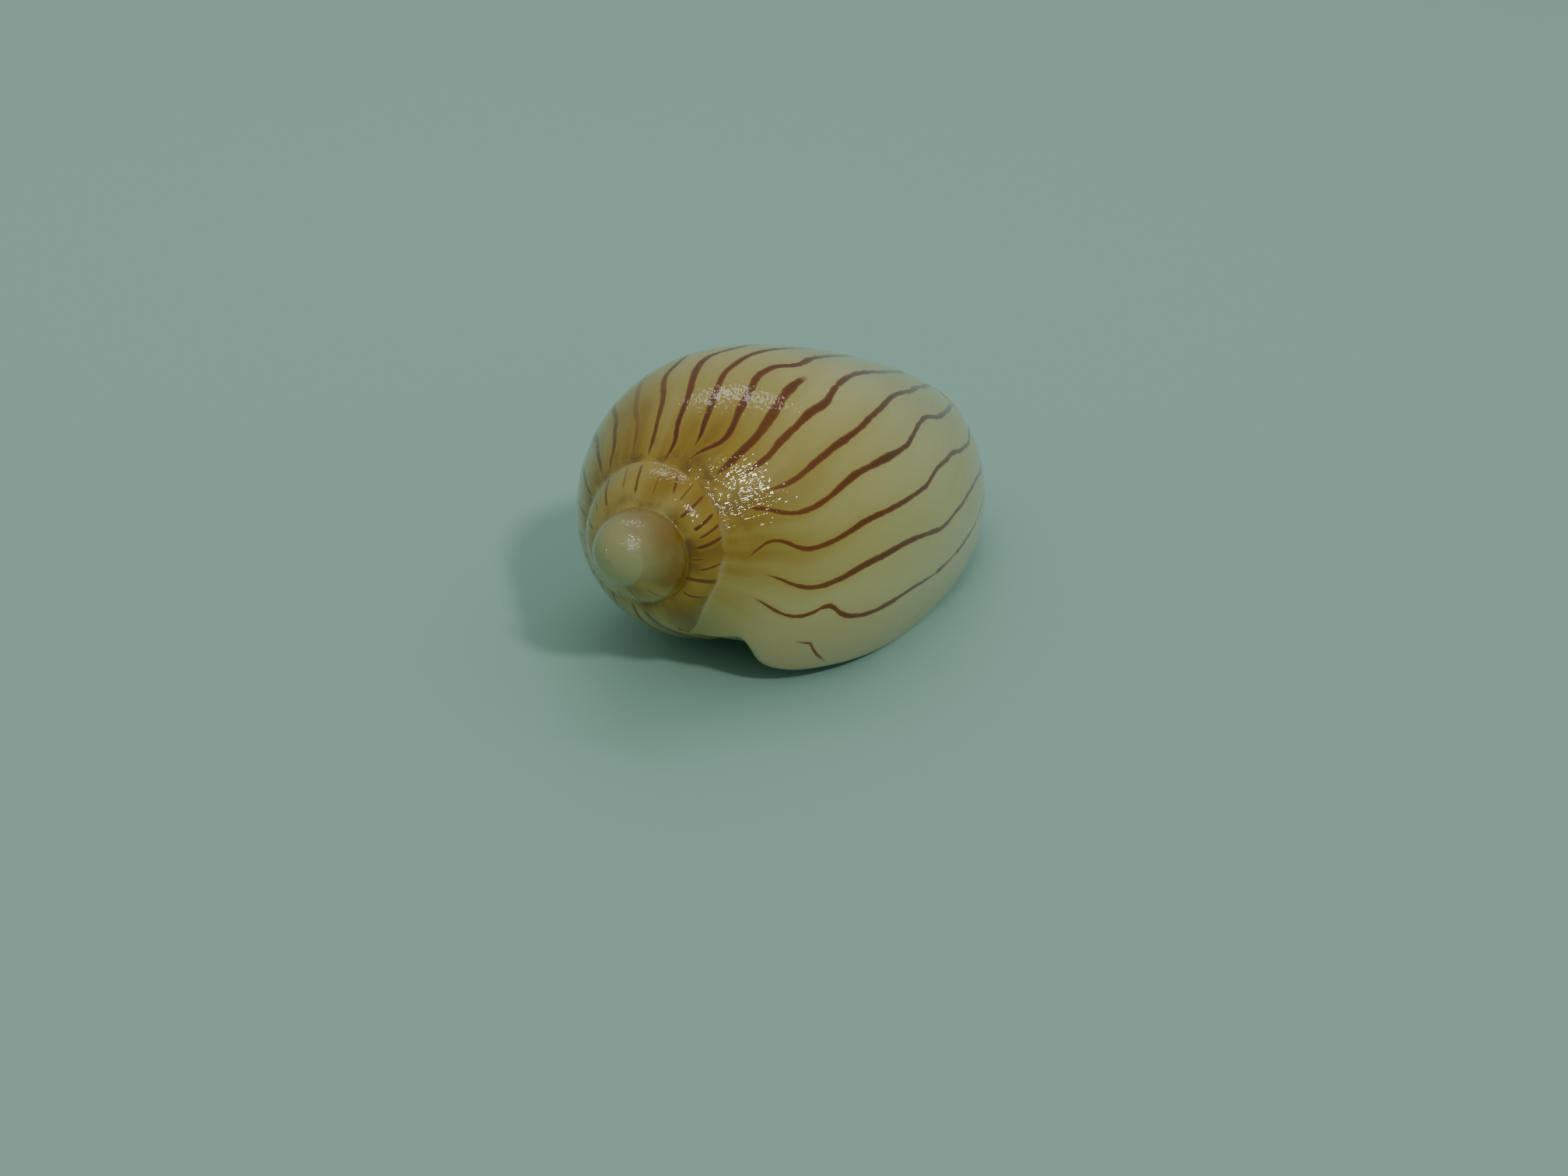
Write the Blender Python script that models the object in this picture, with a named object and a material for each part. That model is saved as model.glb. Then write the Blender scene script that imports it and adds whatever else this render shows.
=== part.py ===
import math

import bpy
import numpy as np

# Driving dimensions. Lengths along the profile are shares of shellLength; turns count back from the lip.
shellLength = 0.040
columnsPerTurn = 40
sutureRows = 6
rimRows = 4
wallRows = 30
cavityTurns = 0.75

# The suture, from the apex to the lip
sutureTurn = (-3.0, -2.5, -2.0, -1.5, -1.0, -0.5, -0.2, -0.08, -0.03, 0.07)
sutureRadius = (0.0, 0.027, 0.0445, 0.0517, 0.0815, 0.1071, 0.1109, 0.1130, 0.1165, 0.1504)
sutureDrop = (0.0, 0.010, 0.0295, 0.0647, 0.1011, 0.1270, 0.1232, 0.1218, 0.1270, 0.1800)

# The slope of each spire whorl, in degrees below level, as it leaves its suture and as it meets the next
spireTurn = (-4.0, -3.5, -3.0, -2.5, -2.0, -1.5, -1.0)
leavingSlope = (0.0, 0.0, 5.0, 36.0, 50.0, 25.0, -5.0)
meetingSlope = (5.0, 36.0, 66.0, 84.0, 86.0, 70.0, 52.0)

# The body whorl one turn back, half a turn back and at the lip
bodyTurn = (-1.0, -0.5, 0.0)
widestRadius = (0.1832, 0.2166, 0.3095)
widestDrop = (0.3707, 0.3136, 0.5087)
baseRadius = (0.0300, 0.0385, 0.1756)
baseDrop = (0.955, 0.958, 0.958)
tipRadius = 0.020
tipDrop = 0.995
rampOut = (0.1012, 0.5091, 0.3339)
rampDown = (-0.0457, 0.2119, 0.1917)
shoulder = (0.7797, 0.2893, 0.8866)
flank = (0.7219, 0.2485, 0.3667)
neck = (0.2242, 0.2351, 0.8711)

# Shares of the way down the profile
topShare = 0.36
baseShare = 0.86
seatShare = 0.20
cornerShare = 0.30
footShare = 0.955

# How far the lip recedes, in turns, over its whole height and again at the siphonal notch
lipLag = 0.1272
notchLag = 0.10
lagShare = 0.118

# The lip's posterior end runs ahead along the suture, then falls back into a shallow bay
ahead = 0.07
aheadShare = (0.0, 0.02, 0.04, 0.06, 0.08, 0.10, 0.12, 0.15, 0.20, 0.30, 0.35, 1.0)
lipAhead = (0.07, 0.046, 0.031, 0.014, -0.009, -0.014, -0.010, 0.0, 0.005, 0.0, 0.0, 0.0)

# The hollow behind the lip
wallThick = 0.024
lipThin = 0.70
hollowTurn = (-0.75, -0.5, -0.3, -0.15, 0.0)
hollowFootShare = (0.68, 0.72, 0.80, 0.90, 1.0)
footRadius = (0.050, 0.045, 0.040, 0.034, 0.0)
footDrop = (0.70, 0.78, 0.88, 0.945, 0.0)

# Four oblique folds on the columella
foldDrops = (0.56, 0.64, 0.715, 0.785)
foldHeight = 0.011
foldWidth = 0.017
foldPitch = 0.22

# How the shell lies: the turn about its own axis, the dip of the axis and the trim of its feet
restSpin = 40.0
restDip = -8.8
restHeading = 0.0
footTrim = 0.00015


def through(knots, values, at):
    """Cubic through the given values, with the slope at each knot taken from its neighbours."""
    knots = np.asarray(knots, float)
    values = np.asarray(values, float)
    at = np.clip(np.asarray(at, float), knots[0], knots[-1])
    slope = np.gradient(values, knots)
    i = np.clip(np.searchsorted(knots, at, side="right") - 1, 0, len(knots) - 2)
    span = knots[i + 1] - knots[i]
    x = (at - knots[i]) / span
    return (
        (2 * x**3 - 3 * x**2 + 1) * values[i]
        + (x**3 - 2 * x**2 + x) * span * slope[i]
        + (3 * x**2 - 2 * x**3) * values[i + 1]
        + (x**3 - x**2) * span * slope[i + 1]
    )


def ease(x):
    x = np.clip(x, 0.0, 1.0)
    return x * x * (3 - 2 * x)


def pair(a, b):
    return np.stack(np.broadcast_arrays(a, b), -1)


def bezier(a, b, c, d, x):
    x = x[..., None]
    return (1 - x) ** 3 * a + 3 * (1 - x) ** 2 * x * b + 3 * (1 - x) * x**2 * c + x**3 * d


def suture(turn):
    """Distance from the axis and drop below the apex of the suture."""
    return pair(through(sutureTurn, sutureRadius, turn), through(sutureTurn, sutureDrop, turn))


def plainProfile(turn, share):
    """Outside of the body whorl at a turn, from the suture at share 0 to the anterior tip at share 1."""
    turn, share = np.broadcast_arrays(np.asarray(turn, float), np.asarray(share, float))

    def at(values):
        return through(bodyTurn, values, turn)

    start = suture(turn)
    widest = pair(at(widestRadius), at(widestDrop))
    base = pair(at(baseRadius), at(baseDrop))
    tip = pair(tipRadius + 0 * turn, tipDrop)
    out = widest - start
    fall = base - widest
    runIn = fall * pair(at(neck), 0.30)
    ramp = start + out * pair(at(rampOut), at(rampDown))
    brow = widest - out * pair(0.0, at(shoulder))
    below = widest + fall * pair(0.0, at(flank) * 0.75)
    heel = tip + (base - tip) * pair(0.45, 0.0)
    top = bezier(start, ramp, brow, widest, np.clip(share / topShare, 0, 1))
    low = bezier(widest, below, base - runIn, base, np.clip((share - topShare) / (baseShare - topShare), 0, 1))
    end = bezier(base, base + 0.18 * runIn, heel, tip, np.clip((share - baseShare) / (1 - baseShare), 0, 1))
    share = share[..., None]
    return np.where(share <= topShare, top, np.where(share <= baseShare, low, end))


def folds(turn, found):
    """Height of the columella's folds: they wind in behind the mouth and fade over the outside."""
    rise = np.zeros(found.shape[:-1])
    for drop in foldDrops:
        rise += np.exp(-(((found[..., 1] - drop - foldPitch * (turn + 1)) / foldWidth) ** 2))
    return pair(foldHeight * (1 - ease((turn + 1) / 0.10)) * (1 - ease((-1.12 - turn) / 0.3)) * rise, 0.0)


def profile(turn, share):
    found = plainProfile(turn, share)
    return found + folds(turn, found)


def lag(share):
    """Turns by which the growth line has receded at each share of its way down."""
    notch = np.sin(math.pi * np.clip((share - 0.84) / 0.16, 0, 1)) ** 2
    return lipLag * share * ease((share - lagShare) / 0.14) + notchLag * notch


def atLip(share):
    """Turns by which each share of the lip stands ahead of turn 0."""
    return through(aheadShare, lipAhead, share)


def atBack(share):
    """Turns by which the line one turn behind the lip is moved, so that the lip's end can join it."""
    return ahead * (1 - ease((share - cornerShare) / 0.30))


def inward(turn, share):
    """Unit normal of the profile, pointing into the whorl."""
    step = 1e-3
    along = profile(turn, share + step * 0.5) - profile(turn, share - step * 0.5)
    normal = pair(-along[..., 1], along[..., 0])
    return normal / np.maximum(np.linalg.norm(normal, axis=-1, keepdims=True), 1e-9)


def nearLip(turn):
    return ease((turn + 0.30) / 0.30)


def nearBack(turn):
    return ease(1 - np.abs(turn + 1) / 0.30)


def corner(turn):
    """The upper corner of the hollow, a little below the suture."""
    seat = profile(ahead - 1.0, cornerShare) - suture(ahead)
    return suture(np.asarray(turn, float) + ahead) + seat * np.exp(0.5 * np.asarray(turn, float))[..., None]


def foot(turn):
    """The lower corner of the hollow, beside the columella."""
    radius = footRadius[:-1] + (float(profile(-1.0, footShare)[0]),)
    drop = footDrop[:-1] + (float(profile(-1.0, footShare)[1]),)
    return pair(through(hollowTurn, radius, turn), through(hollowTurn, drop, turn))


def innerSide(turn, s):
    """Inside of the outer wall: the outside moved in by the wall, its ends drawn to the two corners."""
    turn, s = np.broadcast_arrays(np.asarray(turn, float), np.asarray(s, float))
    bottom = through(hollowTurn, hollowFootShare, turn)
    thick = wallThick * (lipThin + (1 - lipThin) * ease(-turn / 0.08))

    def moved(at):
        share = bottom * at + 0.12 * (1 - at) ** 3
        own = turn + atLip(share)
        return profile(own, share) + thick[..., None] * inward(own, share), share

    point, share = moved(s)
    upper = (corner(turn) - moved(0 * s)[0]) * ((1 - s) ** 7)[..., None]
    lower = (foot(turn) - moved(0 * s + 1)[0]) * (s**7)[..., None]
    return point + upper + lower, lag(share) - atLip(share)


def innerWall(turn, s):
    """The whorl one turn back, carried on into the hollow: parietal wall above, columella below."""
    turn, s = np.broadcast_arrays(np.asarray(turn, float), np.asarray(s, float))
    share = cornerShare + (footShare - cornerShare) * s
    seen = plainProfile(atBack(share) - 1.0, share)
    top, low = corner(turn), foot(turn)
    nearTop = (1 - s) ** 4
    shrunk = np.exp(0.65 * turn)
    radius = seen[..., 0] * (shrunk + (top[..., 0] / corner(0.0)[0] - shrunk) * nearTop)
    radius += (low[..., 0] - foot(0.0)[0] * shrunk) * s**6
    drop = seen[..., 1] + (top[..., 1] - corner(0.0)[1]) * (1 - s) + (low[..., 1] - foot(0.0)[1]) * s**1.5
    point = pair(radius, drop)
    window = ease(s / 0.1) * ease((1 - s) / 0.12)
    return point + folds(turn - 1, point) * window[..., None], lag(share) - atBack(share)


def placed(point, angle):
    """Profile point and angle, in turns, to a position with the apex at the origin and the axis along -Z."""
    angle = 2 * math.pi * angle
    return shellLength * np.stack(
        [point[..., 0] * np.cos(angle), point[..., 0] * np.sin(angle), -point[..., 1]], -1
    )


def quads(grid):
    return np.stack([grid[:-1, :-1], grid[1:, :-1], grid[1:, 1:], grid[:-1, 1:]], -1).reshape(-1, 4)


def shellMesh():
    """Vertices and faces of the whole shell as one closed surface."""
    count = columnsPerTurn
    shares = np.concatenate([
        np.linspace(0, seatShare, sutureRows + 1),
        np.linspace(seatShare, cornerShare, rimRows + 1)[1:],
        np.linspace(cornerShare, footShare, wallRows + 1)[1:],
        np.linspace(footShare, 1, rimRows + 1)[1:],
    ])
    rows = len(shares) - 1
    seatRow, cornerRow, footRow = sutureRows, sutureRows + rimRows, rows - rimRows
    points = []
    faces = []

    def add(array):
        first = sum(len(p) for p in points)
        points.append(array.reshape(-1, 3))
        return first + np.arange(array.size // 3).reshape(array.shape[:-1])

    # The body whorl
    turn = np.linspace(-1, 0, count + 1)[:, None]
    own = turn + atLip(shares) * nearLip(turn) + atBack(shares) * nearBack(turn)
    body = add(placed(profile(own, shares[None]), -own + lag(shares)[None]))
    body[-1, 0] = body[0, seatRow]
    body[-1, -1] = body[0, -1]
    faces.append(quads(body))

    # The spire, each whorl from its own suture to the next
    turn = np.linspace(-4, -1, 3 * count + 1)[:, None]
    across = np.linspace(0, 1, sutureRows + 1)[None]
    turn = turn + ahead * ((1 - across) * nearBack(turn) + across * (nearBack(turn + 1) + nearLip(turn + 1)))
    start, stop = suture(np.maximum(turn, -3)), suture(turn + 1)
    reach = np.linalg.norm(stop - start, axis=-1, keepdims=True) * 0.36
    leaving = np.radians(through(spireTurn, leavingSlope, turn))
    meeting = np.radians(through(spireTurn, meetingSlope, turn))
    leaving = start + reach * pair(np.cos(leaving), np.sin(leaving))
    meeting = stop - reach * pair(np.cos(meeting), np.sin(meeting))
    free = bezier(start, leaving, meeting, stop, across + 0 * turn)
    own = np.maximum(turn, -1.0)
    seen = profile(own, across * seatShare) - suture(own)
    seen = start + seen + (stop - start - seen[:, -1:]) * (across**2)[..., None]
    nearBody = ease((turn + 1.2) / 0.2)[..., None]
    spirePoint = free + (seen - free) * nearBody
    spire = add(placed(spirePoint, -turn))
    spire[: count + 1, 0] = spire[0, 0]
    spire[0, :] = spire[0, 0]
    spire[-1, :] = body[0, : seatRow + 1]
    spire[: 2 * count, -1] = spire[count : 3 * count, 0]
    spire[2 * count :, -1] = body[:, 0]
    faces.append(quads(spire))

    # The hollow: the inside of the outer wall and the wall one turn back
    turn = np.linspace(-cavityTurns, 0, round(cavityTurns * count) + 1)[:, None]
    point, back = innerSide(turn, shares[None])
    side = add(placed(point, -turn + back))
    point, back = innerWall(turn, np.linspace(0, 1, wallRows + 1)[None])
    wall = add(placed(point, -turn + back))
    wall[-1] = body[0, cornerRow : footRow + 1]
    side[:, 0] = wall[:, 0]
    side[:, -1] = wall[:, -1]
    faces.append(quads(side)[:, ::-1])
    faces.append(quads(wall))

    # The blind end of the hollow
    nearest = np.round(np.arange(rows + 1) * wallRows / rows).astype(int)
    end = np.stack([side[0, :-1], side[0, 1:], wall[0, nearest[1:]], wall[0, nearest[:-1]]], -1)
    faces.append(end[:, ::-1])

    # The lip, rounded from the outside to the inside
    every = np.concatenate(points)
    outer, inner = every[body[-1]], every[side[-1]]
    own = atLip(shares) - 0.01
    before = placed(profile(own, shares), -own + lag(shares))
    forward = outer - before
    forward /= np.linalg.norm(forward, axis=1, keepdims=True)
    half = (outer - inner) / 2
    swell = np.minimum(np.arange(rows + 1), rows - np.arange(rows + 1))
    swell = ease(swell / 5) * shellLength * wallThick * lipThin / 2
    turned = np.linspace(0, math.pi, rimRows + 1)[:, None, None]
    rim = (outer + inner) / 2 + half * np.cos(turned) + (forward * swell[:, None]) * np.sin(turned)
    lip = add(rim)
    lip[0], lip[-1] = body[-1], side[-1]
    lip[:, 0] = body[0, seatRow : cornerRow + 1]
    lip[:, -1] = body[0, footRow:][::-1]
    faces.append(quads(lip))

    # The anterior tip
    tip = add(placed(pair(0.0, tipDrop + 0.005)[None], np.zeros(1)))[0]
    ring = body[:-1, -1]
    faces.append(np.stack([ring, np.roll(ring, -1), 0 * ring + tip, 0 * ring + tip], -1))
    return np.concatenate(points), np.concatenate(faces)


def cleaned(points, faces):
    """Drops repeated corners, faces that have collapsed and vertices no face uses."""
    kept = []
    for face in faces.tolist():
        loop = [v for i, v in enumerate(face) if v != face[i - 1]]
        if len(set(loop)) > 2:
            kept.append(loop)
    used = sorted({v for face in kept for v in face})
    place = {v: i for i, v in enumerate(used)}
    return points[used], [[place[v] for v in face] for face in kept]


def lying(points):
    """Turns the shell from its own axis to the way it rests on its mouth."""
    spin, dip, heading = (math.radians(a) for a in (restSpin, restDip + 90, restHeading))
    aboutAxis = np.array([
        [math.cos(spin), -math.sin(spin), 0], [math.sin(spin), math.cos(spin), 0], [0, 0, 1]])
    tilt = np.array([[math.cos(dip), 0, math.sin(dip)], [0, 1, 0], [-math.sin(dip), 0, math.cos(dip)]])
    about = np.array([
        [math.cos(heading), -math.sin(heading), 0], [math.sin(heading), math.cos(heading), 0], [0, 0, 1]])
    points = points @ (about @ tilt @ aboutAxis).T
    low, high = points.min(0), points.max(0)
    return points - np.array([(low[0] + high[0]) / 2, (low[1] + high[1]) / 2, low[2]])


def material(name, colour, roughness):
    made = bpy.data.materials.new(name)
    made.use_nodes = True
    shader = made.node_tree.nodes["Principled BSDF"]
    shader.inputs["Base Color"].default_value = colour
    shader.inputs["Roughness"].default_value = roughness
    shader.inputs["Metallic"].default_value = 0.0
    return made


for old in list(bpy.data.objects):
    bpy.data.objects.remove(old, do_unlink=True)

collection = bpy.data.collections.new("volute_shell")
cutters = bpy.data.collections.new("cutters")
for each in (collection, cutters):
    bpy.context.scene.collection.children.link(each)
cutters.hide_render = True

points, faces = cleaned(*shellMesh())
points = lying(points) - np.array([0, 0, footTrim])
mesh = bpy.data.meshes.new("shell")
mesh.from_pydata(points.tolist(), [], faces)
mesh.validate()
mesh.materials.append(material("polished_shell", (0.86, 0.79, 0.62, 1.0), 0.18))
shell = bpy.data.objects.new("shell", mesh)
collection.objects.link(shell)

# The flats the shell rests on, cut by a slab just under the ground plane
half = shellLength
depth = shellLength / 4
bottom = [(-half, -half, -depth), (half, -half, -depth), (half, half, -depth), (-half, half, -depth)]
top = [(x, y, 0.0) for x, y, z in bottom]
slabMesh = bpy.data.meshes.new("ground_slab")
slabMesh.from_pydata(
    bottom + top, [], [(3, 2, 1, 0), (4, 5, 6, 7), (0, 1, 5, 4), (1, 2, 6, 5), (2, 3, 7, 6), (3, 0, 4, 7)])
slab = bpy.data.objects.new("ground_slab", slabMesh)
slab.hide_render = True
slab.display_type = "WIRE"
cutters.objects.link(slab)

trim = shell.modifiers.new("feet", "BOOLEAN")
trim.operation = "DIFFERENCE"
trim.solver = "EXACT"
trim.object = slab
mesh.shade_smooth()
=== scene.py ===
import math
import bpy
import numpy as np
from mathutils import Matrix


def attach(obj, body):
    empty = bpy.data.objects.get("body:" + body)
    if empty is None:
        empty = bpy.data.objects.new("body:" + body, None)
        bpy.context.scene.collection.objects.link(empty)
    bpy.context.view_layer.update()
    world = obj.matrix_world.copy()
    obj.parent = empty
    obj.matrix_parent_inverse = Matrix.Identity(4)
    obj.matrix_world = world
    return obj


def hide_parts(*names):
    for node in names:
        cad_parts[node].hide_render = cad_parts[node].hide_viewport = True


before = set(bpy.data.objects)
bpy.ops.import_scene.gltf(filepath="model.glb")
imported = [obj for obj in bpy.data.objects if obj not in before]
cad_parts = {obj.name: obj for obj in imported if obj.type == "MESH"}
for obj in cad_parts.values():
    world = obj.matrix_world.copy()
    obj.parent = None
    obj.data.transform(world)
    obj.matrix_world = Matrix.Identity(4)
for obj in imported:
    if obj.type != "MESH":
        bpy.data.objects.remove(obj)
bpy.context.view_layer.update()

# The shell's form. Lengths along a profile are shares of length, turns count back from the lip.
form = dict(
    length=0.040, columns=180, sutureRows=16, rimRows=10, wallRows=100, cavityTurns=0.75,
    sutureTurn=(-3.0, -2.5, -2.0, -1.5, -1.0, -0.5, -0.2, -0.08, -0.03, 0.07),
    sutureRadius=(0.0, 0.027, 0.0445, 0.0517, 0.0815, 0.1071, 0.1109, 0.1130, 0.1165, 0.1504),
    sutureDrop=(0.0, 0.010, 0.0295, 0.0647, 0.1011, 0.1270, 0.1232, 0.1218, 0.1270, 0.1800),
    spireTurn=(-4.0, -3.5, -3.0, -2.5, -2.0, -1.5, -1.0),
    leavingSlope=(0.0, 0.0, 5.0, 36.0, 50.0, 25.0, -5.0),  # degrees below level, below each suture
    meetingSlope=(5.0, 36.0, 66.0, 84.0, 86.0, 70.0, 52.0),  # and above the next one
    bodyTurn=(-1.0, -0.5, 0.0),
    widestRadius=(0.1832, 0.2166, 0.3095), widestDrop=(0.3707, 0.3136, 0.5087),
    baseRadius=(0.0300, 0.0385, 0.1756), baseDrop=(0.955, 0.958, 0.958),
    tipRadius=0.020, tipDrop=0.995,
    rampOut=(0.1012, 0.5091, 0.3339), rampDown=(-0.0457, 0.2119, 0.1917),
    shoulder=(0.7797, 0.2893, 0.8866), flank=(0.7219, 0.2485, 0.3667), neck=(0.2242, 0.2351, 0.8711),
    topShare=0.36, baseShare=0.86, seatShare=0.20, cornerShare=0.30, footShare=0.955,
    lipLag=0.1272, notchLag=0.10, lagShare=0.118,
    ahead=0.07, nearTurns=0.30,  # the lip's upper end runs ahead; the coil eases into it over nearTurns
    backFade=0.30,  # and one turn back it is let go over this share below the corner
    aheadShare=(0.0, 0.02, 0.04, 0.06, 0.08, 0.10, 0.12, 0.15, 0.20, 0.30, 0.35, 1.0),
    lipAhead=(0.07, 0.046, 0.031, 0.014, -0.009, -0.014, -0.010, 0.0, 0.005, 0.0, 0.0, 0.0),
    wallThick=0.024, lipThin=0.70,
    topShrink=0.5, wallShrink=0.65,  # how fast the hollow shrinks as it goes in
    hollowTurn=(-0.75, -0.5, -0.3, -0.15, 0.0), hollowFootShare=(0.68, 0.72, 0.80, 0.90, 1.0),
    footRadius=(0.050, 0.045, 0.040, 0.034, 0.0), footDrop=(0.70, 0.78, 0.88, 0.945, 0.0),
    foldDrops=(0.56, 0.64, 0.715, 0.785), foldHeight=0.011, foldWidth=0.017, foldPitch=0.22,
    spireReach=0.36, restSpin=40.0, restDip=-8.8, footTrim=0.00015,
    reliefHeight=0.00045,  # times a sum of waves: rate along the coil, phase, slant, strength
    reliefWaves=((61, 0.0, 2.0, 0.5), (97, 1.3, 5.0, 0.35), (173, 0.7, -3.0, 0.22),
                 (311, 2.1, 0.0, 0.10)),
)


# Cubic through the values at the knots, each knot's slope taken from its neighbours
def through(knots, values, at):
    knots = np.asarray(knots, float)
    values = np.asarray(values, float)
    at = np.clip(np.asarray(at, float), knots[0], knots[-1])
    slope = np.gradient(values, knots)
    i = np.clip(np.searchsorted(knots, at, side="right") - 1, 0, len(knots) - 2)
    span = knots[i + 1] - knots[i]
    x = (at - knots[i]) / span  # share of the way to the next knot
    return ((2 * x**3 - 3 * x**2 + 1) * values[i] + (x**3 - 2 * x**2 + x) * span * slope[i]
            + (3 * x**2 - 2 * x**3) * values[i + 1] + (x**3 - x**2) * span * slope[i + 1])


# Three x squared less two x cubed, held between 0 and 1
def ease(x):
    x = np.clip(x, 0.0, 1.0)
    return x * x * (3 - 2 * x)


# Two values side by side: radius and drop
def pair(a, b):
    return np.stack(np.broadcast_arrays(a, b), -1)


# Cubic Bezier from a to d with handles b and c
def bezier(a, b, c, d, x):
    x = x[..., None]
    return (1 - x) ** 3 * a + 3 * (1 - x) ** 2 * x * b + 3 * (1 - x) * x**2 * c + x**3 * d


# Distance from the axis and drop below the apex of the suture
def suture(turn):
    return pair(through(form["sutureTurn"], form["sutureRadius"], turn),
                through(form["sutureTurn"], form["sutureDrop"], turn))


# Outside of the body whorl: a curve from the suture to the widest place, one to the base, one to the tip
def plainProfile(turn, share):
    turn, share = np.broadcast_arrays(np.asarray(turn, float), np.asarray(share, float))

    def at(name):  # a value of the body whorl at this turn
        return through(form["bodyTurn"], form[name], turn)

    def along(first, last):  # share of the way from one share to another
        return np.clip((share - first) / (last - first), 0, 1)

    start = suture(turn)
    widest = pair(at("widestRadius"), at("widestDrop"))
    base = pair(at("baseRadius"), at("baseDrop"))
    tip = pair(form["tipRadius"] + 0 * turn, form["tipDrop"])
    out = widest - start
    fall = base - widest
    runIn = fall * pair(at("neck"), 0.30)
    ramp = start + out * pair(at("rampOut"), at("rampDown"))
    brow = widest - out * pair(0.0, at("shoulder"))
    below = widest + fall * pair(0.0, at("flank") * 0.75)
    heel = tip + (base - tip) * pair(0.45, 0.0)
    topShare, baseShare = form["topShare"], form["baseShare"]
    top = bezier(start, ramp, brow, widest, along(0, topShare))
    low = bezier(widest, below, base - runIn, base, along(topShare, baseShare))
    end = bezier(base, base + 0.18 * runIn, heel, tip, along(baseShare, 1))
    share = share[..., None]
    return np.where(share <= topShare, top, np.where(share <= baseShare, low, end))


# Four bell-shaped ridges across the columella, winding inwards and fading on the outside
def folds(turn, found):
    level = found[..., 1] - form["foldPitch"] * (turn + 1)
    rise = sum(np.exp(-(((level - drop) / form["foldWidth"]) ** 2)) for drop in form["foldDrops"])
    fade = (1 - ease((turn + 1) / 0.10)) * (1 - ease((-1.12 - turn) / 0.3))
    return pair(form["foldHeight"] * fade * rise, 0.0)


# The plain outside with the folds added
def profile(turn, share):
    found = plainProfile(turn, share)
    return found + folds(turn, found)


# Turns by which the growth line has receded: a slope down the whole height and a bay at the notch
def lag(share):
    notch = np.sin(math.pi * np.clip((share - 0.84) / 0.16, 0, 1)) ** 2
    return form["lipLag"] * share * ease((share - form["lagShare"]) / 0.14) + form["notchLag"] * notch


def atLip(share):  # turns by which each share of the lip stands ahead
    return through(form["aheadShare"], form["lipAhead"], share)


def atBack(share):  # turns by which the line one turn back is moved to meet it
    return form["ahead"] * (1 - ease((share - form["cornerShare"]) / form["backFade"]))


def nearLip(turn):  # 1 at the lip, 0 from nearTurns before it
    return ease((turn + form["nearTurns"]) / form["nearTurns"])


def nearBack(turn):  # 1 one turn back, 0 from nearTurns to either side
    return ease(1 - np.abs(turn + 1) / form["nearTurns"])


# The profile's direction turned a quarter turn, into the whorl
def inward(turn, share):
    step = 1e-3
    along = profile(turn, share + step * 0.5) - profile(turn, share - step * 0.5)
    normal = pair(-along[..., 1], along[..., 0])
    return normal / np.maximum(np.linalg.norm(normal, axis=-1, keepdims=True), 1e-9)


def corner(turn):  # the hollow's upper corner: the suture plus its seat, shrinking inwards
    seat = profile(form["ahead"] - 1.0, form["cornerShare"]) - suture(form["ahead"])
    turn = np.asarray(turn, float)
    return suture(turn + form["ahead"]) + seat * np.exp(form["topShrink"] * turn)[..., None]


def foot(turn):  # the hollow's lower corner: a curve that ends on the profile one turn back
    last = profile(-1.0, form["footShare"])
    radius = form["footRadius"][:-1] + (float(last[0]),)
    drop = form["footDrop"][:-1] + (float(last[1]),)
    return pair(through(form["hollowTurn"], radius, turn), through(form["hollowTurn"], drop, turn))


# Inside of the outer wall: the outside moved in by the wall, its ends drawn to the two corners
def innerSide(turn, s):
    turn, s = np.broadcast_arrays(np.asarray(turn, float), np.asarray(s, float))
    bottom = through(form["hollowTurn"], form["hollowFootShare"], turn)
    thick = form["wallThick"] * (form["lipThin"] + (1 - form["lipThin"]) * ease(-turn / 0.08))

    def moved(at):  # the outside, in by the wall
        share = bottom * at + 0.12 * (1 - at) ** 3
        own = turn + atLip(share)
        return profile(own, share) + thick[..., None] * inward(own, share), share

    point, share = moved(s)
    upper = (corner(turn) - moved(0 * s)[0]) * ((1 - s) ** 7)[..., None]
    lower = (foot(turn) - moved(0 * s + 1)[0]) * (s**7)[..., None]
    return point + upper + lower, share


# The whorl one turn back, carried on into the hollow and drawn in as it goes
def innerWall(turn, s):
    turn, s = np.broadcast_arrays(np.asarray(turn, float), np.asarray(s, float))
    share = form["cornerShare"] + (form["footShare"] - form["cornerShare"]) * s
    seen = plainProfile(atBack(share) - 1.0, share)
    top, low = corner(turn), foot(turn)
    nearTop = (1 - s) ** 4
    shrunk = np.exp(form["wallShrink"] * turn)
    radius = seen[..., 0] * (shrunk + (top[..., 0] / corner(0.0)[0] - shrunk) * nearTop)
    radius += (low[..., 0] - foot(0.0)[0] * shrunk) * s**6
    drop = seen[..., 1] + (top[..., 1] - corner(0.0)[1]) * (1 - s)
    drop += (low[..., 1] - foot(0.0)[1]) * s**1.5
    point = pair(radius, drop)
    window = ease(s / 0.1) * ease((1 - s) / 0.12)
    return point + folds(turn - 1, point) * window[..., None], share


# Growth relief: a few waves of unequal length along the coil, swelling and dying down the profile
def relief(turn, share):
    waves = sum(strength * np.sin(turn * rate + phase + slant * share)
                for rate, phase, slant, strength in form["reliefWaves"])
    swell = 0.55 + 0.45 * np.sin(turn * 11 + 4 * share)
    return form["reliefHeight"] * waves * swell * ease(share / 0.05) * ease((1 - share) / 0.12)


# Radius and drop at an angle in turns, to a place with the apex at the origin and the axis down -Z
def placed(point, angle):
    angle = 2 * math.pi * angle
    return form["length"] * np.stack(
        [point[..., 0] * np.cos(angle), point[..., 0] * np.sin(angle), -point[..., 1]], -1)


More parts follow.
